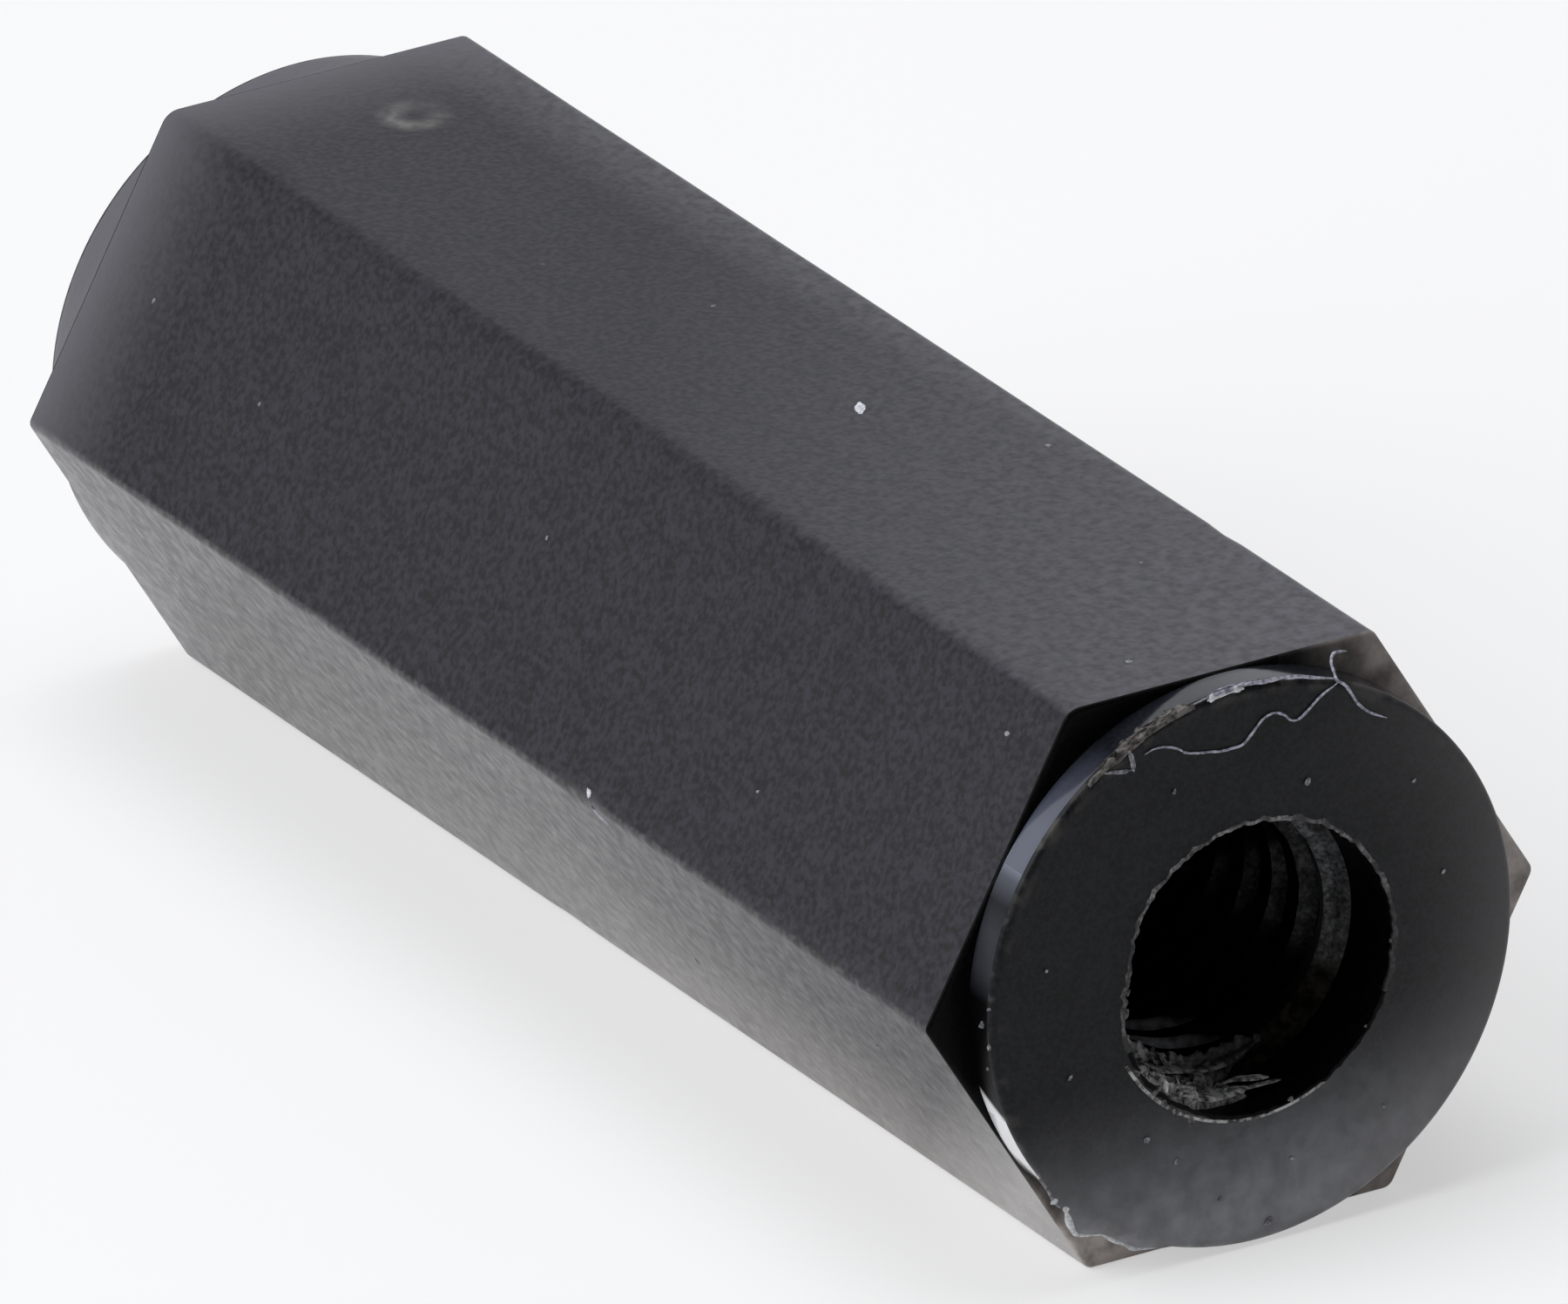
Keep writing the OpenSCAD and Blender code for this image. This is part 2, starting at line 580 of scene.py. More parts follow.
def dust(material, brightest):
    """Specks of dust and nylon on the flats and the end face, and a white fleck on the top flat."""
    line = [on_flat(x, TOP, across) for x, across in ((1.72, -0.47), (1.88, -0.39), (2.06, -0.29))]
    fleck = strand(line, 0.13, 0.3, 0.4, outward=facing(TOP), taper=0.4, seed=3)
    joined("top_fleck", [fleck], brightest)
    on_flats = [
        (4.34, TOP, -1.83, 0.1), (-2.12, TOP, -0.48, 0.08), (10.96, TOP, 0.85, 0.1),
        (10.85, UPPER, -1.59, 0.08), (-0.13, UPPER, -0.35, 0.07), (-10.4, UPPER, -0.05, 0.07),
        (-7.25, UPPER, 0.31, 0.06), (3.14, LOWER, 0.77, 0.1), (6.4, UPPER, 0.9, 0.05),
        (-4.6, TOP, 0.7, 0.05), (8.3, TOP, -0.9, 0.05), (-5.2, LOWER, 0.3, 0.06), (9.1, LOWER, -0.6, 0.07),
    ]
    on_face = [
        (0.9, 2.39), (-1.68, -2.08), (0.11, -3.7), (-1.24, -2.5), (-1.1, 2.75), (2.9, 0.6), (-2.8, -0.9),
        (0.5, -2.9), (-3.1, 0.7), (-0.6, -3.2), (1.9, -2.5), (2.5, 2.0),
    ]
    sizes = (0.09, 0.09, 0.1, 0.08, 0.06, 0.06, 0.06, 0.06, 0.05, 0.06, 0.05, 0.05)
    parts = [
        crumb(on_flat(x, angle, across, lift=-0.004), size, 0.2, seed, facing(angle))
        for seed, (x, angle, across, size) in enumerate(on_flats)
    ]
    joined("dust", parts + crumbs(zip(on_end(on_face, 0.015), sizes), 0.5, seed=30), material)


def along_rim(first, last, count, out, back, seed, spread=0.03):
    """Uneven points along the shoulder's rim, from one angle to another."""
    points = []
    for angle in spaced(first, last, count):
        place = on_rim(back, out, angle)
        forth, away = spread * wobble(place, 0.25, seed), spread * wobble(place, 0.3, seed + 2)
        points.append(on_rim(back - forth, out + away, angle))
    return points


def skirt_points(angle, share):
    """Upper and lower point of the lumpy strip behind the rim burr."""
    reach = 0.05 + 0.2 * smooth(0, 16, 127 - angle) * (1 + 0.4 * wobble(polar(0, 4, angle), 0.12, 3))
    back = reach * share - 0.004
    lumps = 0.05 * wobble(on_rim(back, 0, angle), 0.11, 9)
    rise = 0.014 + lumps - 0.03 * share ** 3 - 0.02 * smooth(0, 3, 104 - angle)
    return on_rim(back, max(rise, -0.03), angle), on_rim(back, -0.06, angle)


def rim_burr(material, lighter):
    """Stringy burr that the cutter left on the rim, with a curl that lies on the face."""
    parts = [
        strand(along_rim(104, 126, 16, -0.02, 0.02, 1), 0.06, 0.5, 0.7, seed=3),
        strand(along_rim(110, 124, 10, 0.01, 0.06, 5, 0.05), 0.05, 0.6, 0.7, seed=8),
        strand(along_rim(113, 122, 7, -0.05, 0, 7), 0.07, 0.45, 0.7, seed=11),
        sheet(skirt_points, spaced(101, 127, 52), spaced(0, 1, 11)),
    ]
    chance = random.Random(21)
    for number in range(8):
        first = chance.uniform(103, 119)
        last = first + chance.uniform(4, 8)
        out = chance.uniform(-0.01, 0.03)
        back = chance.uniform(0.0, 0.14)
        width = chance.uniform(0.02, 0.035)
        parts.append(strand(along_rim(first, last, 7, out, back, number, 0.05), width, 0.6, 0.5, seed=number))
    joined("rim_burr", parts, material)
    curl = on_end([(-1.76, 3.5), (-1.73, 3.4), (-1.71, 3.3), (-1.7, 3.19)], 0.015)
    tail = on_end([(-1.72, 3.22), (-1.85, 3.22), (-2.0, 3.25), (-2.14, 3.27)], 0.01)
    parts = [strand(curl, 0.075, 0.5, 0.3, seed=13), strand(tail, 0.05, 0.5, 0.5, seed=17)]
    joined("rim_curl", parts, lighter)


def rim_edge_and_painted_highlight(material, brightest):
    """White torn edge on the highest part of the rim, with a few brighter bits: partly torn nylon, partly a
    painted highlight of the shoulder's wall.
    """
    parts = [
        strand(along_rim(70, 101, 22, 0.01, 0.02, 2, 0.02), 0.06, 0.6, 0.6, seed=5),
        strand(along_rim(86, 97, 8, 0.02, 0.08, 6), 0.045, 0.6, 0.7, seed=7),
    ]
    joined("rim_edge_and_painted_highlight", parts, material)
    parts = [
        strand(along_rim(90, 98, 8, -0.02, 0.005, 9), 0.075, 0.4, 0.9, seed=15),
        crumb(polar(END_X - 0.02, 3.93, 97), 0.1, 0.4, seed=80),
        crumb(polar(END_X - 0.02, 3.94, 91.5), 0.1, 0.4, seed=82),
    ]
    joined("rim_bits_and_painted_highlight", parts, brightest)


def front_crumbs(material):
    """Crumbs on the rim beside the front corner."""
    places = ((179, 0.2, 0.1), (183, 0.06, 0.07), (188, 0.16, 0.06), (175, 0.05, 0.05))
    parts = crumbs([(on_rim(back, -0.01, angle), size) for angle, back, size in places], 0.7, seed=50)
    joined("front_crumbs", parts, material)


# By angle, how far the flap low on the rim stands out over the corner, and how far back it bends
FLAP_OUT = (
    (211, -0.1), (214, 0.0), (218, 0.03), (221, 0.08), (224, 0.05), (227, 0.14), (229.5, 0.23),
    (232, 0.22), (235, 0.09), (239, 0.1), (243, 0.13), (248, 0.03), (253, -0.1),
)
FLAP_BACK = ((211, 0.0), (224, 0.07), (232, 0.17), (241, 0.15), (253, 0.0))


def flap_points(angle, share):
    """Upper and lower point of the flap: share 0 is at the rim and 1 at the torn border."""
    tip = between(FLAP_OUT, angle) * (1 + 0.12 * wobble(polar(0, SHOULDER_R, angle), 0.2, 4))
    out = (tip + 0.14) * share - 0.14
    back = between(FLAP_BACK, angle) * share ** 2
    return on_rim(back - 0.002, out, angle), on_rim(back + 0.04, out - 0.01, angle)


def rim_flap(material):
    """Thin flap that the cutter pushed out over the corner, low on the rim."""
    joined("rim_flap", [sheet(flap_points, spaced(211, 253, 61), spaced(0, 1, 9))], material)


def flap_border(material, brightest):
    """Torn border of the flap: pale where it starts, white along its tip."""
    def edge(first, last, count):
        return [flap_points(angle, 1.0)[0] for angle in spaced(first, last, count)]

    joined("flap_border", [strand(edge(213, 225, 9), 0.05, 0.6, 0.6, seed=22, taper=0.3)], material)
    raised = [point + Vector((0.012, 0, 0.02)) for point in edge(231, 247, 12)]
    parts = [
        strand(raised, 0.065, 0.5, 0.7, seed=25, taper=0.3),
        strand(edge(223.5, 233, 9), 0.09, 0.5, 0.6, seed=23, taper=0.35),
        crumb(flap_points(220.5, 0.95)[0], 0.1, 0.4, seed=41),
        crumb(flap_points(224, 0.9)[0], 0.1, 0.4, seed=42),
    ]
    joined("flap_tip", parts, brightest)


def mouth_burr(material):
    """Crumbs and flakes that the tap left on the mouth's lip."""
    flakes = [
        (153, 1.98, 0.02, 0.1), (158, 1.93, 0.05, 0.11), (163, 1.89, 0.1, 0.1), (170, 1.87, 0.06, 0.12),
        (178, 1.88, 0.04, 0.1), (187, 1.92, 0.04, 0.1), (211, 2.09, 0.0, 0.12), (223, 2.08, 0.0, 0.15),
        (229, 2.12, 0.0, 0.1), (236, 2.17, 0.0, 0.12), (243, 2.19, 0.0, 0.13), (284, 2.13, 0.0, 0.1),
        (47, 2.06, 0.0, 0.07), (81, 2.02, 0.0, 0.08), (355, 2.1, 0.0, 0.06), (104, 2.05, 0.01, 0.06),
        (322, 2.13, 0.01, 0.05),
    ]
    places = [(polar(END_X - depth, radius, angle), size) for angle, radius, depth, size in flakes]
    joined("mouth_burr", crumbs(places, 0.35, seed=70), material)


# Angle that the swarf in the bore reaches to, by its depth from the end
SWARF_REACH = (
    (0.0, 240), (0.25, 252), (0.4, 262), (0.52, 277), (0.66, 276), (0.8, 267), (0.98, 268),
    (1.1, 276), (1.2, 285), (1.3, 295), (1.38, 288),
)
SWARF_START = 206
SWARF_DEPTH = 1.4


def mat_points(depth, angle):
    """Upper and lower point of the mat of chips that covers the bottom of the mouth."""
    wall = between(LEAD_IN, depth)
    place = in_bore(depth, 2.0, angle)
    inside = smooth(0, 9, between(SWARF_REACH, depth) - angle) * smooth(0, 8, angle - SWARF_START)
    inside *= smooth(0, 0.12, SWARF_DEPTH - depth) * smooth(0, 0.25, depth)
    folds = 1 - 2.2 * abs(wobble(place, 0.22, 5)) + 0.35 * wobble(place, 0.1, 8)
    thick = 0.27 * inside * (0.45 + 0.55 * folds) - 0.05
    return in_bore(depth, wall - thick, angle), in_bore(depth, wall + 0.09, angle)


# Ribbons of swarf: points of (depth, distance from the axis, angle), width and seed
RIBBONS = [
    ([(0.5, 1.88, 222), (0.7, 1.84, 230), (0.9, 1.84, 240), (1.05, 1.82, 252), (1.12, 1.86, 262)], 0.2, 5),
    ([(1.0, 1.86, 256), (1.1, 1.85, 266), (1.17, 1.84, 276), (1.22, 1.84, 286), (1.27, 1.86, 294)], 0.24, 9),
    ([(0.3, 1.99, 246), (0.38, 1.96, 255), (0.46, 1.95, 263), (0.56, 1.98, 274)], 0.26, 12),
    ([(0.6, 2.02, 272), (0.52, 2.0, 280), (0.44, 2.03, 287)], 0.1, 13),
    ([(0.62, 1.9, 262), (0.66, 1.88, 270), (0.62, 1.92, 278), (0.55, 1.97, 284)], 0.17, 14),
    ([(1.25, 1.74, 236), (1.3, 1.74, 246), (1.3, 1.76, 256), (1.26, 1.82, 268)], 0.14, 18),
    ([(0.62, 1.88, 252), (0.78, 1.84, 256), (0.98, 1.83, 259)], 0.13, 19),
    ([(1.05, 1.84, 248), (1.18, 1.83, 250), (1.3, 1.8, 251)], 0.11, 20),
]


def ribbon(places, width, seed):
    """Ribbon of swarf that lies against the wall of the bore."""
    inward = -facing(places[len(places) // 2][2])
    path = [in_bore(*place) for place in places]
    return strand(path, width, 0.3, 0.8, outward=inward, taper=0.2, seed=seed)


def swarf(material):
    """Crumpled swarf that lies in the bottom of the mouth and on the first thread."""
    mat = sheet(mat_points, spaced(0.03, SWARF_DEPTH, 45), spaced(SWARF_START, SWARF_START + 92, 67))
    loose = [(1.26, 1.83, 293, 0.12), (1.29, 1.86, 18, 0.1), (1.3, 1.85, 10, 0.06), (1.29, 1.87, -21, 0.07)]
    loose = [(in_bore(depth, radius, angle), size) for depth, radius, angle, size in loose]
    parts = [mat, *(ribbon(*row) for row in RIBBONS), *crumbs(loose, 0.8, seed=61)]
    chance = random.Random(7)
    for number in range(70):
        depth = chance.uniform(0.06, 1.25)
        angle = chance.uniform(218, between(SWARF_REACH, depth) - 4)
        size = chance.uniform(0.07, 0.2)
        place = in_bore(depth, between(LEAD_IN, depth) - chance.uniform(0.06, 0.24), angle)
        outward = facing(angle + chance.uniform(-60, 60))
        outward.x = chance.uniform(-0.5, 0.5)
        parts.append(crumb(place, size, chance.uniform(0.15, 0.35), 110 + number, outward.normalized()))
    joined("swarf", parts, material, smooth_below=18.0)


def edge_fleck(material, brightest):
    """White fleck and pale streaks where the long edge was nicked."""
    sunk = -0.012
    streak = [on_flat(x, LOWER, across, sunk) for x, across in ((3.05, -2.2), (3.2, -2.08), (3.42, -1.98))]
    graze = [on_flat(x, LOWER, across, sunk) for x, across in ((10.0, -1.8), (10.4, -1.72), (11.1, -1.5))]
    parts = [
        strand(streak, 0.13, 0.2, 0.5, outward=facing(LOWER), seed=31, taper=0.4),
        strand(graze, 0.05, 0.3, 0.5, outward=facing(LOWER), seed=33),
    ]
    joined("edge_streaks", parts, material)
    nick = crumb(polar(3.0, 4.52, 179), 0.12, 0.7, seed=61, outward=Vector((0, -1, 0)))
    joined("edge_fleck", [nick], brightest)


# ---- materials
ALONG_X, ALONG_Y, UP = (1, 0, 0), (0, 1, 0), (0, 0, 1)


class Nodes:
    """A node tree. Each method adds a node to it and returns that node or its output."""

    def __init__(self, tree, coordinates, scale):
        self.tree = tree
        source = self.add("TexCoord").outputs[coordinates]
        self.place = self.add("VectorMath", source, operation="SCALE", Scale=scale).outputs[0]

    def put(self, socket, value):
        """Gives a socket this value, or links it to another node's output."""
        if isinstance(value, bpy.types.NodeSocket):
            self.tree.links.new(value, socket)
        else:
            socket.default_value = (*value, 1.0) if socket.type == "RGBA" else value

    def fill(self, made, **inputs):
        """Sets inputs of a node by name, with _ for each space in it."""
        for name, value in inputs.items():
            self.put(made.inputs[name.replace("_", " ")], value)

    def add(self, kind, *first_inputs, **settings):
        """New shader node. A setting whose name starts with a capital letter is an input."""
        made = self.tree.nodes.new("ShaderNode" + kind)
        for name, value in settings.items():
            if name[0].isupper():
                self.fill(made, **{name: value})
            else:
                setattr(made, name, value)
        for socket, value in zip(made.inputs, first_inputs):
            self.put(socket, value)
        return made

    def calculate(self, operation, *values):
        """Result of one sum."""
        return self.add("Math", *values, operation=operation).outputs[0]

    def product(self, result, *others):
        """All the values multiplied."""
        for other in others:
            result = self.calculate("MULTIPLY", result, other)
        return result

    def remap(self, value, low, high, to_low=0.0, to_high=1.0):
        """Value from one range to another, kept inside it."""
        return self.add("MapRange", value, low, high, to_low, to_high).outputs["Result"]

    def along(self, direction):
        """Distance of the place along a direction."""
        return self.add("VectorMath", self.place, direction, operation="DOT_PRODUCT").outputs["Value"]

    def distance(self, place, point):
        """Distance of a place from a point."""
        return self.add("VectorMath", place, point, operation="DISTANCE").outputs["Value"]

    def fade(self, direction, low, high, to_low=0.0, to_high=1.0):
        """Value that changes with the distance along a direction."""
        return self.remap(self.along(direction), low, high, to_low, to_high)

    def grain(self, size, detail=2.0):
        """Noise with features about `size` millimetres wide."""
        return self.add("TexNoise", self.place, Scale=1 / size, Detail=detail).outputs["Fac"]

    def patches(self, size, low, high, to_low, to_high, detail=3.0):
        """Value that changes in patches of about this size."""
        return self.remap(self.grain(size, detail), low, high, to_low, to_high)

    def ramp(self, factor, *stops):
        """Colour ramp of (position, colour) stops."""
        made = self.add("ValToRGB", factor)
        elements = made.color_ramp.elements
        while len(elements) < len(stops):
            elements.new(1.0)
        for element, (position, colour) in zip(elements, stops):
            element.position = position
            element.color = (*colour, 1.0)
        return made.outputs[0]

    def bump(self, height, distance, **more):
        """Bump of this distance in millimetres."""
        return self.add("Bump", Height=height, Distance=distance * MM, **more).outputs["Normal"]

    def blend(self, share, first, second):
        """Mix of two values, or of two colours, by a share from 0 to 1."""
        colours = isinstance(second, tuple) or second.type == "RGBA"
        made = self.add("Mix", share, data_type="RGBA" if colours else "FLOAT")
        # The node has inputs and an output for each kind of data.
        first_input, output = (6, 2) if colours else (2, 0)
        self.put(made.inputs[first_input], first)
        self.put(made.inputs[first_input + 1], second)
        return made.outputs[output]


class Paint(Nodes):
    """A new material with a Principled shader; places are object coordinates in millimetres."""

    def __init__(self, name):
        self.material = bpy.data.materials.new(name)
        self.material.use_nodes = True
        super().__init__(self.material.node_tree, "Object", 1 / MM)
        self.shader = self.tree.nodes["Principled BSDF"]

    def shade(self, **inputs):
        """Sets inputs of the shader."""
        self.fill(self.shader, **inputs)

    def cover(self, colour, *shares):
        """Lays a colour over the present one, by the product of the shares."""
        self.colour = self.blend(self.product(*shares), self.colour, colour)

    def outwards(self, angle, low, high):
        """Share from 0 to 1 that grows with the distance from the axis towards an angle."""
        direction = facing(angle)
        lift = AXIS_Z * direction.z
        return self.fade(direction, low + lift, high + lift)

    def off_axis(self):
        """Distance of the place from the axis."""
        section = self.add("VectorMath", self.place, (0, 1, 1), operation="MULTIPLY").outputs[0]
        return self.distance(section, (0, 0, AXIS_Z))

    def deeper(self, low, high, to_low=0.0, to_high=1.0):
        """Value that changes with the depth from the +X end."""
        return self.fade(ALONG_X, HALF_LENGTH - low, HALF_LENGTH - high, to_low, to_high)

    def near_corner(self):
        """Share from 0 to 1 towards the lowest corner of the +X end."""
        return self.fade((0.75, 0, -1), 5.5, 7.5)


def nylon(name, dark, light, gloss, specular=0.5, height=0.003, grain_size=0.06, film=None):
    """Black nylon with a mottled grain. `film` adds what lies on it, and in some materials painted light and
    shade.
    """
    paint = Paint(name)
    fine = paint.grain(grain_size)
    mottled = paint.grain(0.35, detail=3.0)
    middle = tuple((a + b) / 2 for a, b in zip(dark, light))
    mixed = paint.blend(0.22, fine, mottled)
    paint.colour = paint.ramp(mixed, (0.38, dark), (0.5, middle), (0.62, light))
    if film:
        film(paint)
    paint.normal = paint.bump(fine, height)
    paint.shade(Base_Color=paint.colour, Roughness=gloss, IOR=1.5, Specular_IOR_Level=specular)
    paint.shade(Normal=paint.normal)
    return paint


def scuffed(paint):
    """Curved pale scuff on the top flat near the -X end."""
    centre, radius = (-9.9, 0.4, FLATS), 0.34
    off_ring = paint.calculate("SUBTRACT", paint.distance(paint.place, centre), radius)
    ring = paint.remap(paint.calculate("ABSOLUTE", off_ring), 0.04, 0.24, 1, 0)
    broken = paint.patches(0.25, 0.35, 0.6, 0.3, 1)
    towards_front = paint.fade((0.3, -1, 0), -3.8, -2.9, 0.2)
    paint.cover((0.17, 0.16, 0.145), ring, broken, towards_front, 0.9)


def side_scuff_dust_and_painted_light(paint):
    """The scuff; painted glare on the top flat towards the +X end and the +Y edge; paler towards the -X end;
    and the lower front flat's film.
    """
    scuffed(paint)
    on_top = paint.fade(UP, FLATS - 0.1, FLATS - 0.04)
    painted_glare_near_end = paint.fade((0.04, 0.06, 0), -0.13, 0.77, 0, 0.78)
    painted_glare_back_edge = paint.fade(ALONG_Y, 1.1, 2.4, 0, 0.65)
    uneven = paint.patches(0.2, 0.36, 0.64, 0.65, 1.35, detail=4.0)
    # Painted glare on the top flat.
    paint.cover((0.11, 0.108, 0.12), paint.calculate("MAXIMUM", painted_glare_near_end, painted_glare_back_edge), uneven, on_top)
    paint.cover((0.11, 0.106, 0.118), paint.calculate("POWER", paint.fade(ALONG_X, -9.4, -12), 2.0))
    lower_dust_and_painted_reflection(paint)


def lower_dust_and_painted_reflection(paint):
    """Warm patchy film on the lower front flat, partly dust and partly painted reflection of the floor:
    thicker low down and paler near the +X end.
    """
    on_lower = paint.outwards(LOWER, APOTHEM - 0.08, APOTHEM - 0.04)
    patchy = paint.patches(0.13, 0.42, 0.68, 0, 0.24, detail=4.0)
    # Painted reflection of the floor: more film low down and nearer the +X end.
    painted_reflection_low = paint.calculate("POWER", paint.fade((0.02, 0, 1), 2.9, 0.0), 1.5)
    uneven = paint.patches(0.4, 0.35, 0.65, 0.4, 0.6, detail=4.0)
    painted_reflection_nearer = paint.fade(ALONG_X, -11, 10, 0.2, 2)
    amount = paint.calculate("ADD", patchy, paint.product(painted_reflection_low, uneven, painted_reflection_nearer))
    paint.cover((0.25, 0.228, 0.218), on_lower, amount)
    # Painted reflection: paler at the lowest corner of the +X end.
    paint.cover((0.38, 0.362, 0.35), paint.near_corner(), paint.calculate("ADD", uneven, 0.15), on_lower)


def end_painted_glare_and_rim_patches(paint):
    """Painted glare: paler low on the end faces and towards the rim on the lower +Y side; and brownish
    patches on the rim.
    """
    # Painted glare low on the end faces.
    film = paint.calculate("POWER", paint.fade((0, 0.05, -1), -3.3, -0.2), 2.3)
    spotted = paint.patches(0.3, 0.3, 0.7, 0.75, 1.2, detail=4.0)
    paint.cover((0.35, 0.355, 0.375), film, spotted)
    radius = paint.off_axis()
    # Painted glare towards the rim, more on the lower +Y side.
    side = paint.fade((0, 0.75, -0.66), -4.2, 1.2, 0, 0.5)
    edge = paint.calculate("POWER", paint.remap(radius, 1.5, 3.98), 2.0)
    paint.cover((0.21, 0.203, 0.205), edge, side)
    paint.cover((0.11, 0.1, 0.09), paint.remap(radius, 3.74, 3.94), paint.patches(0.4, 0.48, 0.62, 0, 0.45))


def painted_flank_light_and_shade(paint):
    """Painted light and shade on the flanks: pale lit bands above on the +Y side, a dim tail below, a lit
    patch at the bottom.
    """
    slope = 0.51
    limit = AXIS_Z - slope * HALF_LENGTH + 1.55
    past_first = paint.deeper(1.55, 1.75)
    # Painted shadow: past the first thread the bands are dark above a sloping line, where the mouth's rim
    # keeps the light off.
    hidden = paint.product(past_first, paint.fade((-slope, 0, 1), limit, limit + 0.15))
    streaky = paint.patches(0.2, 0.35, 0.6, 0.35, 1)
    # The ledge is painted dimmer, and the bands dimmer deeper down, as shade.
    ledge = paint.remap(paint.off_axis(), 1.94, 1.97, 1, 0.55)
    shown = paint.calculate("SUBTRACT", 1, hidden)
    # The lit bands: painted light on the flanks towards the +Y side above.
    upper = paint.outwards(60, 0.02, 0.3)
    bands = paint.product(upper, shown, streaky, ledge, paint.deeper(1.33, 1.4, 1, 0.45))
    blotchy = paint.patches(0.14, 0.4, 0.62, 0.15, 1, detail=4.0)
    # A dim painted lit tail below; the rest of the flanks is painted near black, as shade.
    tail = paint.product(paint.outwards(-40, 1.35, 1.75), paint.deeper(1.45, 1.55, 1, 0), blotchy)
    dark = paint.blend(tail, (0.0008, 0.0008, 0.0007), (0.026, 0.0235, 0.017))
    paint.colour = paint.blend(bands, dark, paint.colour)
    # A painted lit patch on the flanks at the bottom.
    low, deep = paint.outwards(258, 1.64, 1.76), paint.deeper(2.7, 3.0, 1, 0)
    paint.cover((0.55, 0.56, 0.58), low, past_first, deep, streaky)


def painted_shoulder_reflections(paint):
    """Painted reflection: a bluish sheen above the front of the +X shoulder, and a painted highlight as a
    pale strip below its middle.
    """
    at_end = paint.fade(ALONG_X, 0, 1)
    front = paint.fade(ALONG_Y, -1.9, -3.0, 0, 0.8)
    upper = paint.fade(UP, AXIS_Z, AXIS_Z + 1)
    # Painted reflection, bluish, on the upper front of the wall.
    paint.cover((0.1, 0.11, 0.15), front, upper, at_end)
    # Painted highlight: the pale strip.
    paint.cover((0.7, 0.7, 0.71), paint.outwards(204, 3.86, 3.93), at_end)


def painted_wall_light_and_shade(paint):
    """Painted light on the dull wall: a bluish painted reflection, brightest at the top, fading down into
    near black painted shade, and the tip of the pale painted highlight strip.
    """
    paint.colour = paint.ramp(
        paint.fade(UP, AXIS_Z + 0.3, AXIS_Z + 2.3),
        (0.04, (0.001, 0.001, 0.0012)), (0.25, (0.024, 0.026, 0.032)), (0.5, (0.028, 0.03, 0.036)),
        (0.68, (0.013, 0.0135, 0.016)), (0.84, (0.075, 0.082, 0.1)), (0.96, (0.235, 0.251, 0.305)),
    )
    slope = 0.7
    start = slope * HEX_END_X + AXIS_Z - 0.95
    # Painted highlight: the tip of the pale strip.
    paint.cover((0.72, 0.72, 0.73), paint.fade((slope, 0, 1), start, start - 0.12))


def torn_lip(paint):
    """Torn lip of the mouth: white in places at the top, dull below."""
    high = paint.fade((0, -0.17, 0.98), 2.2, 6.0, 0.12)
    pale = paint.product(high, paint.patches(0.32, 0.42, 0.58, 0.15, 1))
    paint.colour = paint.blend(pale, (0.004, 0.004, 0.004), paint.colour)


def swarf_painted_shade(paint):
    """Painted shade: swarf that lies deeper and further round the bore is darker."""
    paint.cover((0.02, 0.02, 0.019), paint.deeper(1.0, 1.15), paint.fade(ALONG_Y, -0.8, -0.1, 0, 0.85))


def settled(paint):
    """Brownish film, thicker in the lowest corners, where dust lies, and towards the +Y side."""
    low = paint.calculate("POWER", paint.fade((0, 0.1, 1), 1.9, 0.1), 2.2)
    right = paint.fade(ALONG_Y, 1.1, 3.0, 0, 0.55)
    uneven = paint.patches(0.4, 0.35, 0.65, 0.5, 1.3, detail=4.0)
    paint.cover((0.62, 0.555, 0.51), paint.calculate("MAXIMUM", low, right), uneven)


def side_nylon():
    """Finish of the hexagonal side: a moulded, mottled skin, dusty at a grazing angle, with a scuff, dust,
    painted glare and painted reflection in its colour.
    """
    gloss, dull = 0.34, 0.55
    paint = nylon(
        "nylon_side", (0.0025, 0.0022, 0.0038), (0.0195, 0.0183, 0.026), gloss, specular=0.44, height=0.004,
        grain_size=0.1, film=side_scuff_dust_and_painted_light,
    )
    low = paint.fade(UP, 4.3, 4.0)
    clear = paint.calculate("SUBTRACT", 1, paint.near_corner())
    rough = paint.remap(paint.product(paint.fade(ALONG_X, 1, 11), low, clear), 0, 1, gloss, dull)
    uneven = paint.patches(0.2, 0.36, 0.64, -0.07, 0.07, detail=4.0)
    paint.shade(
        Roughness=paint.calculate("ADD", rough, paint.product(low, uneven)),
        Normal=paint.bump(paint.grain(0.16, detail=3.0), 0.0025, Normal=paint.normal),
        Sheen_Weight=0.12,
        Sheen_Roughness=0.35,
    )
    return paint.material


def cut_nylon():
    """Finish of the faces cut square to the axis: darker and duller."""
    dark, light = (0.002, 0.0024, 0.003), (0.01, 0.0108, 0.013)
    return nylon("nylon_cut", dark, light, gloss=0.4, specular=0.16, film=end_painted_glare_and_rim_patches).material


# Darkest and lightest grain of the turned shoulder
TURNED_GRAIN = (0.008, 0.009, 0.012), (0.016, 0.018, 0.024)


def turned_nylon():
    """Finish of the turned shoulder: paler and glossy, with fine tool marks round it, and painted reflections
    on its front.
    """
    paint = nylon("nylon_turned", *TURNED_GRAIN, gloss=0.16, specular=1.0, film=painted_shoulder_reflections)
    marks = paint.add("TexNoise", noise_dimensions="1D", W=paint.along(ALONG_X), Scale=9.0, Detail=1.0)
    normal = paint.bump(marks.outputs["Fac"], 0.0015)
    paint.shade(Normal=normal, Coat_Weight=0.5, Coat_Roughness=0.14, Coat_IOR=2.1)
    return paint.material


def dull_painted_wall_nylon():
    """Finish of the turned wall where it is dull, beside the front corner; its colour is painted reflection,
    highlight and shade.
    """
    return nylon("nylon_dull_painted_wall", *TURNED_GRAIN, gloss=0.4, specular=0.1, film=painted_wall_light_and_shade).material


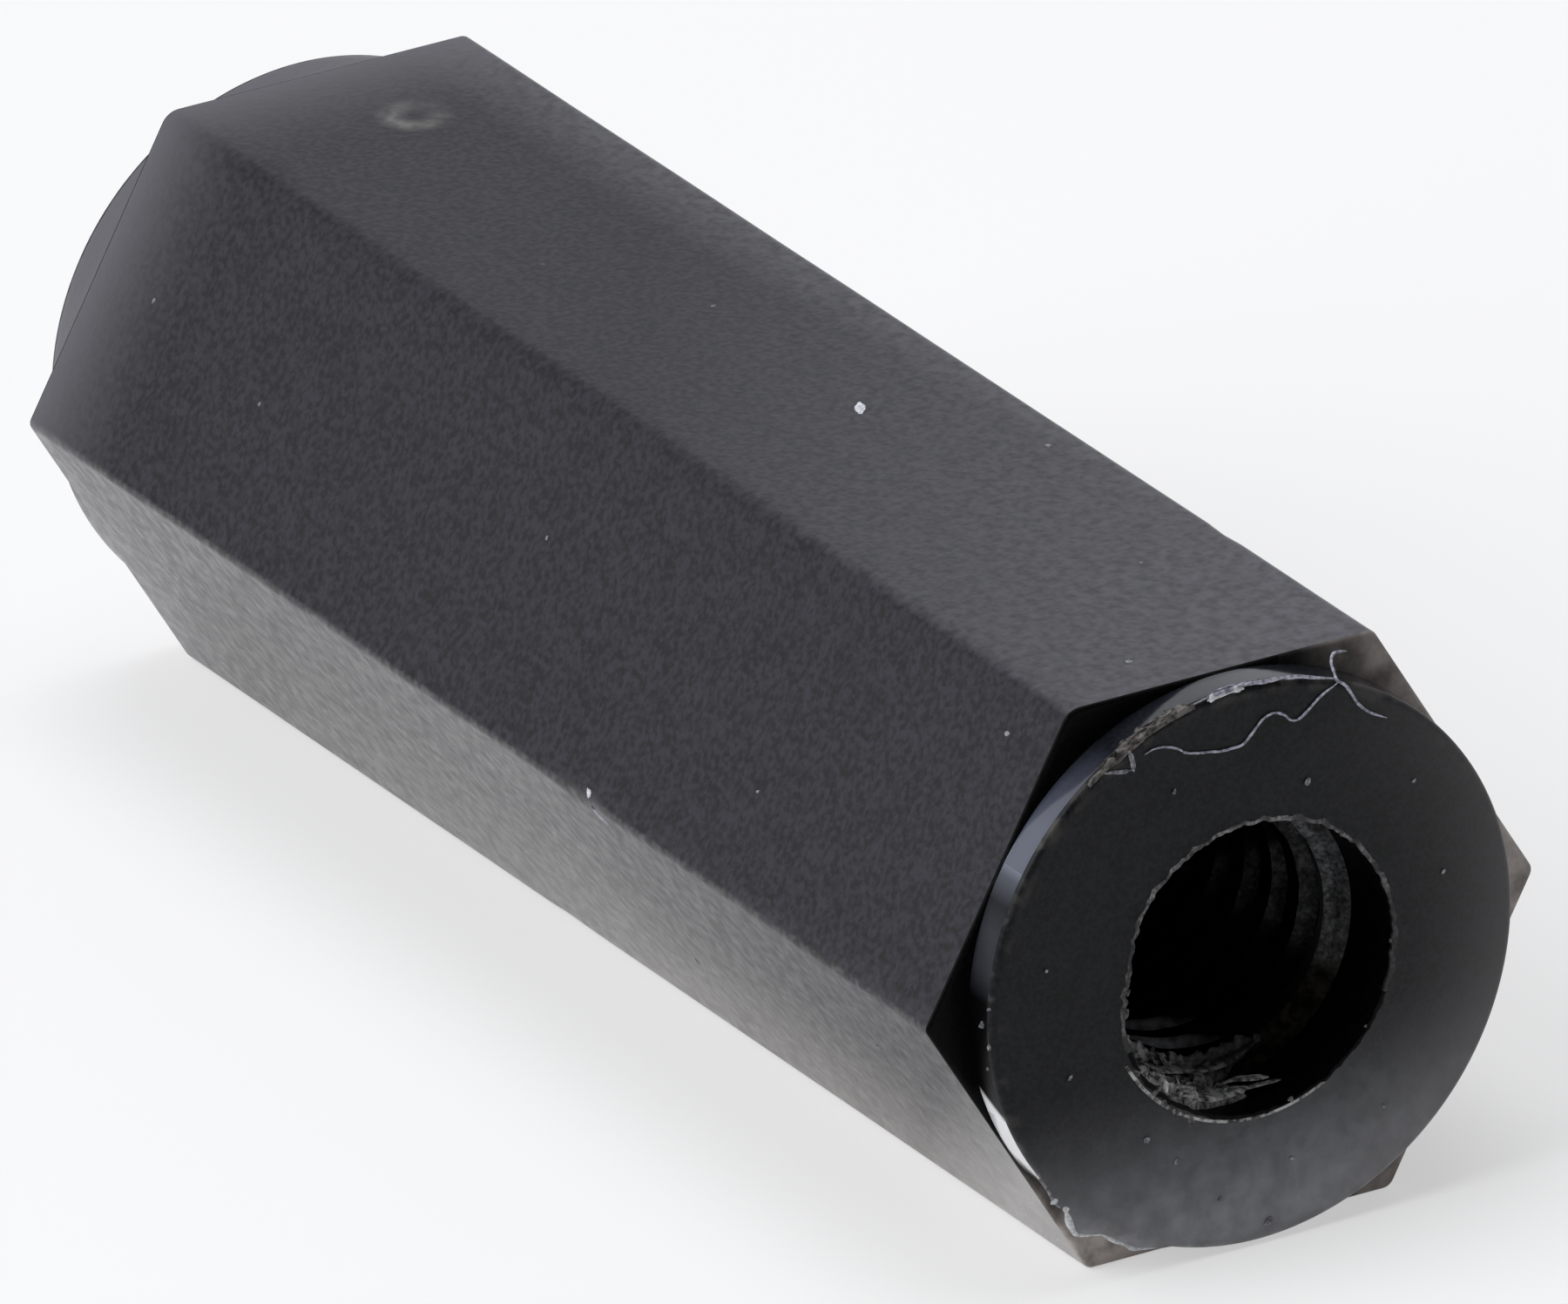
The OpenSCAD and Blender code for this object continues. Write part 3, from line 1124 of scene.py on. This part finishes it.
def worn_nylon():
    """Finish of torn and rubbed rims: paler and brownish in places."""
    dark, light = (0.03, 0.03, 0.031), (0.25, 0.245, 0.25)
    return nylon("nylon_worn", dark, light, gloss=0.5, specular=0.3, height=0.006, film=torn_lip).material


def dust_and_shade_nylon():
    """Finish of the steps round the shoulders: darker than the side, as painted shade, with a brownish film.
    """
    dark, light = (0.002, 0.002, 0.002), (0.008, 0.0075, 0.007)
    return nylon("nylon_dust_and_shade", dark, light, gloss=0.6, specular=0.12, film=settled).material


def painted_shade_nylon():
    """Near black, far darker than the nylon: painted shade inside the bore, low on the lip and at two corners
    of the +X step.
    """
    dark, light = (0.0006, 0.0006, 0.0007), (0.0025, 0.0025, 0.0025)
    return nylon("nylon_painted_shade", dark, light, gloss=0.4, specular=0.05).material


def painted_lit_flank_nylon():
    """Flanks of the thread, painted pale where light falls on them and dark where they lie in shade."""
    dark, light = (0.045, 0.046, 0.048), (0.17, 0.173, 0.178)
    return nylon("nylon_painted_lit_flank", dark, light, 0.5, specular=0.03, height=0.006, film=painted_flank_light_and_shade).material


def fibre_material():
    """Pale textile fibre."""
    return nylon("lint_fibre", (0.14, 0.145, 0.18), (0.5, 0.5, 0.58), gloss=0.6).material


def fleck_material():
    """White fleck of nylon."""
    return nylon("white_fleck", (0.45, 0.46, 0.48), (0.75, 0.76, 0.78), gloss=0.5).material


def dust_material():
    """Pale dust and nylon crumbs."""
    return nylon("pale_dust", (0.06, 0.06, 0.066), (0.3, 0.3, 0.32), gloss=0.7).material


def burr_material():
    """Thin torn nylon: brownish grey, lighter where it is thinnest."""
    dark, light = (0.015, 0.0135, 0.0125), (0.15, 0.138, 0.128)
    return nylon("burr_nylon", dark, light, 0.5, specular=0.25, height=0.006, grain_size=0.08).material


def swarf_material():
    """Crumpled chips: dull grey."""
    dark, light = (0.03, 0.03, 0.03), (0.5, 0.5, 0.48)
    return nylon("swarf_nylon", dark, light, 0.6, 0.3, height=0.01, grain_size=0.1, film=swarf_painted_shade).material


def floor_material():
    """Plain white table. What is seen of it, also in gloss and glass, is half an even white."""
    paint = Paint("pale_floor")
    paint.shade(Base_Color=(0.92, 0.91, 0.9), Roughness=0.9, Specular_IOR_Level=0.0)
    rays = paint.add("LightPath").outputs
    seen = paint.calculate("MAXIMUM", rays["Is Camera Ray"], rays["Is Glossy Ray"])
    seen = paint.calculate("MAXIMUM", seen, rays["Is Transmission Ray"])
    white = paint.add("Emission", (1, 1, 1), 1.0)
    mixed = paint.add("MixShader", paint.product(seen, 0.5), paint.shader.outputs[0], white.outputs[0])
    paint.fill(paint.tree.nodes["Material Output"], Surface=mixed.outputs[0])
    return paint.material


# ---- stage, lamps and camera
def make_floor():
    """Floor that the spacer lies on."""
    half = 1500
    corners = [(-half, -half, 0), (half, -half, 0), (half, half, 0), (-half, half, 0)]
    floor = object_from("floor", corners, [(0, 1, 2, 3)], [floor_material()])


def make_world():
    """White surroundings, brightest behind the -X end and dim past the +X end."""
    world = bpy.data.worlds.new("studio")
    bpy.context.scene.world = world
    world.use_nodes = True
    sky = Nodes(world.node_tree, "Generated", 1.0)
    levels = ((0.1, 0.5), (0.33, 0.42), (0.6, 0.3), (0.9, 0.05))
    share = sky.fade((0.85, -0.45, 0.27), -1, 1)
    grey = sky.ramp(share, *((at, (level,) * 3) for at, level in levels))
    sky.fill(sky.tree.nodes["Background"], Color=(0.93, 0.94, 1.0), Strength=grey)


def seen_from(azimuth, elevation):
    """Direction towards a place round the spacer; azimuth 0 is on the -Y side and 90 on the +X side."""
    a, e = math.radians(azimuth), math.radians(elevation)
    return Vector((math.sin(a) * math.cos(e), -math.cos(a) * math.cos(e), math.sin(e)))


def make_lamp(name, azimuth, elevation, size, power):
    """Soft square lamp that faces the spacer."""
    towards = seen_from(azimuth, elevation)
    data = bpy.data.lights.new(name, "AREA")
    data.size = size
    data.energy = power
    data.color = LAMP_WHITE
    lamp = add_object(name, data)
    lamp.matrix_world = Matrix.LocRotScale(towards * LAMP_DISTANCE, towards.to_track_quat("Z", "Y"), None)


def make_camera():
    """Long lens above the -Y side, a little past the +X end, rolled slightly."""
    azimuth, elevation, roll = 60.65, 23.9, -2.0
    right, up, distance = 0.15, -0.11, 690.5
    back = seen_from(azimuth, elevation)
    level = Vector((0, 0, 1)).cross(back).normalized()
    turn = Matrix((level, back.cross(level), back)).transposed()
    turn = turn @ Matrix.Rotation(math.radians(roll), 3, "Z")
    place = Vector((0, 0, AXIS_Z)) + turn @ Vector((right, up, distance))
    data = bpy.data.cameras.new("camera")
    data.sensor_width = 36
    data.lens = 1200
    data.clip_start = 0.05
    data.clip_end = 10
    camera = add_object("camera", data)
    camera.matrix_world = Matrix.LocRotScale(place * MM, turn, None)
    bpy.context.scene.camera = camera


# ---- the scene
LAMP_WHITE = (0.95, 0.97, 1)
LAMP_DISTANCE = 0.6     # metres

bpy.context.scene.view_settings.view_transform = "Standard"
make_camera()
make_floor()
make_world()
make_lamp("key", azimuth=-8, elevation=38, size=0.5, power=3.0)
make_lamp("overhead", azimuth=-120, elevation=84, size=0.4, power=1.4)
make_lamp("back", azimuth=-119, elevation=22, size=0.14, power=0.003)

finishes = [
    side_nylon(), cut_nylon(), turned_nylon(), dull_painted_wall_nylon(), worn_nylon(), dust_and_shade_nylon(), painted_shade_nylon(),
    painted_lit_flank_nylon(),
]
body = part_of_spacer(body_mesh(finishes))
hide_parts(NODE)

torn, pale, white, fibre = burr_material(), dust_material(), fleck_material(), fibre_material()
lint(fibre)
dust(pale, white)
rim_burr(torn, pale)
rim_edge_and_painted_highlight(fibre, white)
rim_flap(finishes[CUT])
flap_border(pale, white)
front_crumbs(pale)
mouth_burr(torn)
swarf(swarf_material())
edge_fleck(fibre, white)
